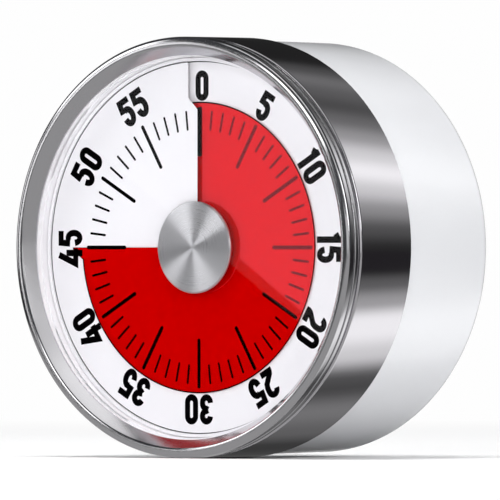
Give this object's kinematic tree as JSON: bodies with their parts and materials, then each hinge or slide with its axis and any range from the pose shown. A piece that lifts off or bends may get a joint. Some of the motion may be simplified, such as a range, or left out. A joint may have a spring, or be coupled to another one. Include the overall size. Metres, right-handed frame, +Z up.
{
  "type": "visual countdown timer",
  "caption": "Round magnetic countdown timer: steel front ring turns a red disc over a white minute dial; clockwork and bell in a white drum case.",
  "frame": {"origin": "on the floor plane, below the middle of the drum, at the centre of the bounding box's lowest face", "axes": "+Y runs along the timer's axis from the dial to the back face, +Z is up through the dial's 0 mark, +X is to the right as the user reads the dial"},
  "size_m": [0.08, 0.046, 0.08],
  "materials": {
    "white_case_plastic": "glossy white moulded ABS",
    "white_cover_plastic": "fine-textured white moulded ABS",
    "white_dial_sheet": "smooth white plastic sheet with black print",
    "red_film": "thin red plastic film",
    "clear_lens": "clear moulded acrylic",
    "brushed_lip_steel": "stainless steel, finely brushed lip",
    "polished_band_steel": "stainless steel, mirror polished",
    "spun_aluminium": "spun aluminium with circular lines",
    "brass": "stamped brass",
    "magnet_nickel": "nickel-plated disc magnet",
    "screw_steel": "zinc-plated steel",
    "plate_steel": "zinc-plated steel sheet",
    "arbor_steel": "turned bright steel",
    "cam_plastic": "natural acetal",
    "spring_steel": "blued spring steel",
    "gong_steel": "pressed steel, nickel-plated"
  },
  "bodies": {
    "case": {"rear_case": "white_case_plastic", "back_cover": "white_cover_plastic", "cover_screws": "screw_steel", "magnet": "magnet_nickel", "dial_pan": "white_case_plastic", "dial_face": "white_dial_sheet", "movement_screws": "screw_steel", "front_plate": "plate_steel", "rear_plate": "plate_steel", "plate_pillars": "plate_steel", "pillar_nuts": "screw_steel", "spring_pin": "arbor_steel", "mainspring": "spring_steel", "bell_gong": "gong_steel", "gong_stud": "arbor_steel", "hammer_pin": "arbor_steel"},
    "dial_ring": {"bezel_ring": "brushed_lip_steel", "side_band": "polished_band_steel", "ring_liner": "white_case_plastic", "lens": "clear_lens", "centre_cap": "spun_aluminium", "disc_hub": "brass", "time_disc": "red_film", "main_arbor": "arbor_steel", "main_wheel": "brass", "clutch_washer": "spring_steel", "bell_cam": "cam_plastic"},
    "second_arbor": {"second_pinion": "arbor_steel", "second_wheel": "brass"},
    "third_arbor": {"third_pinion": "arbor_steel", "third_wheel": "brass"},
    "escape_arbor": {"escape_pinion": "arbor_steel", "escape_wheel": "brass"},
    "balance": {"pallet_arbor": "arbor_steel", "pallet_lever": "brass", "pallet_pins": "arbor_steel", "balance_bar": "brass"},
    "hammer": {"hammer_lever": "spring_steel", "hammer_head": "arbor_steel"}
  },
  "joints": [
    {"name": "dial_turn", "type": "hinge", "parent": "case", "child": "dial_ring", "pos_m": [0, 0, 0.04], "axis": [0, 1, 0], "range_deg": [-270, 84], "deforming": ["time_disc", "mainspring"]},
    {"name": "second_turn", "type": "hinge", "parent": "case", "child": "second_arbor", "pos_m": [0.0105, 0, 0.02181], "axis": [0, 1, 0], "range_deg": [-504, 1620]},
    {"name": "third_turn", "type": "hinge", "parent": "case", "child": "third_arbor", "pos_m": [-0.00329, 0, 0.01938], "axis": [0, 1, 0], "range_deg": [-9720, 3024]},
    {"name": "escape_turn", "type": "hinge", "parent": "case", "child": "escape_arbor", "pos_m": [-0.01363, 0, 0.02121], "axis": [0, 1, 0], "range_deg": [-18144, 58320]},
    {"name": "balance_swing", "type": "hinge", "parent": "case", "child": "balance", "pos_m": [-0.01838, 0, 0.02687], "axis": [0, 1, 0], "range_deg": [-4, 4]},
    {"name": "hammer_swing", "type": "hinge", "parent": "case", "child": "hammer", "pos_m": [-0.01609, 0, 0.0535], "axis": [0, 1, 0], "range_deg": [-6, 4], "stiffness_Nm_per_rad": 0.004}
  ],
  "couplings": [
    {"joint": "second_turn", "follows": "dial_turn", "ratio": -6},
    {"joint": "third_turn", "follows": "dial_turn", "ratio": 36},
    {"joint": "escape_turn", "follows": "dial_turn", "ratio": -216}
  ]
}
